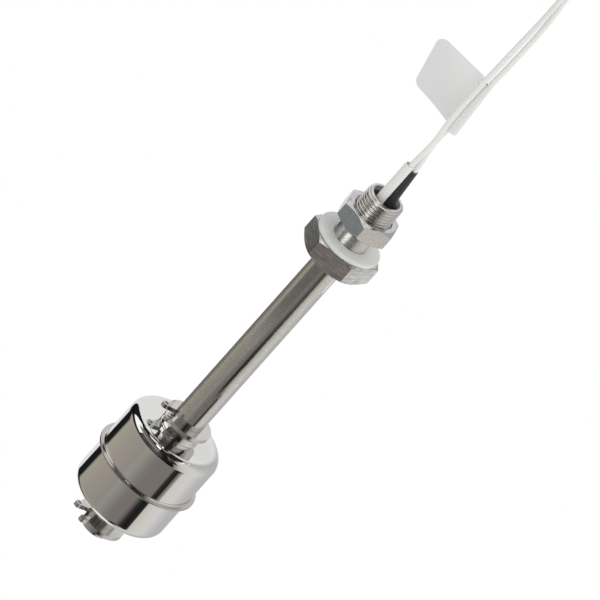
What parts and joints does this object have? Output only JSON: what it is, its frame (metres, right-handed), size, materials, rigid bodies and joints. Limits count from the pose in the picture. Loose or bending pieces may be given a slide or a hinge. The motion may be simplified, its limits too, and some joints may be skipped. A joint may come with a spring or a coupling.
{
  "type": "float level switch",
  "caption": "Stainless float level switch with a sliding magnetic float on a plugged stem, a threaded mounting neck with gasket and lock nut, and two white leads.",
  "frame": {"origin": "on the stem's axis, in the face of the mounting hexagon that the gasket seats on", "axes": "+Z along the stem towards the thread and the leads; the viewer of the picture looks towards +Y and down; +X to the viewer's right across the stem"},
  "size_m": [0.0477, 0.0448, 0.3597],
  "materials": {
    "satin_stainless": "satin",
    "turned_stainless": "turned, lightly brushed",
    "polished_stainless": "mirror polished",
    "ring_steel": "bright, stamped",
    "milky_rubber": "translucent, smooth",
    "ferrite": "matte",
    "glass": "clear",
    "contact_alloy": "bright",
    "solder": "bright",
    "black_resin": "semi-gloss",
    "black_sleeving": "matte",
    "white_sleeving": "satin",
    "white_insulation": "glossy",
    "label_film": "satin",
    "tie_plastic": "satin",
    "tinned_copper": "bright"
  },
  "bodies": {
    "stem": {"stem_tube": "satin_stainless", "stem_end_plug": "satin_stainless", "mounting_fitting": "turned_stainless", "sealing_gasket": "milky_rubber", "upper_retaining_ring": "ring_steel", "lower_retaining_ring": "ring_steel", "reed_glass": "glass", "reed_contact_upper": "contact_alloy", "reed_contact_lower": "contact_alloy", "upper_solder_joint": "solder", "lower_solder_joint": "solder", "reed_insulating_sleeve": "black_sleeving", "stem_resin": "black_resin", "inner_lead_a": "white_insulation", "inner_lead_b": "white_insulation", "neck_potting": "black_resin", "white_sleeve": "white_sleeving", "black_sleeve": "black_sleeving", "lead_wire_a": "white_insulation", "lead_wire_b": "white_insulation", "lead_hank_a": "white_insulation", "lead_hank_b": "white_insulation", "hank_tie": "tie_plastic", "wire_end_a": "tinned_copper", "wire_end_b": "tinned_copper", "label_flag": "label_film"},
    "magnet": {"ring_magnet": "ferrite"},
    "float": {"float_upper_shell": "polished_stainless", "float_lower_shell": "polished_stainless", "float_inner_tube": "polished_stainless", "magnet_retainer_upper": "ring_steel", "magnet_retainer_lower": "ring_steel"},
    "nut": {"lock_nut": "turned_stainless"}
  },
  "joints": [
    {"name": "float_slide", "type": "slide", "parent": "stem", "child": "magnet", "axis": [0, 0, 1], "range_m": [-0.0064, 0.0021]},
    {"name": "float_spin", "type": "hinge", "parent": "magnet", "child": "float", "pos_m": [0, 0, -0.13085], "axis": [0, 0, 1], "continuous": true},
    {"name": "nut_slide", "type": "slide", "parent": "stem", "child": "nut", "axis": [0, 0, 1], "range_m": [-0.0073, 0.009]}
  ]
}
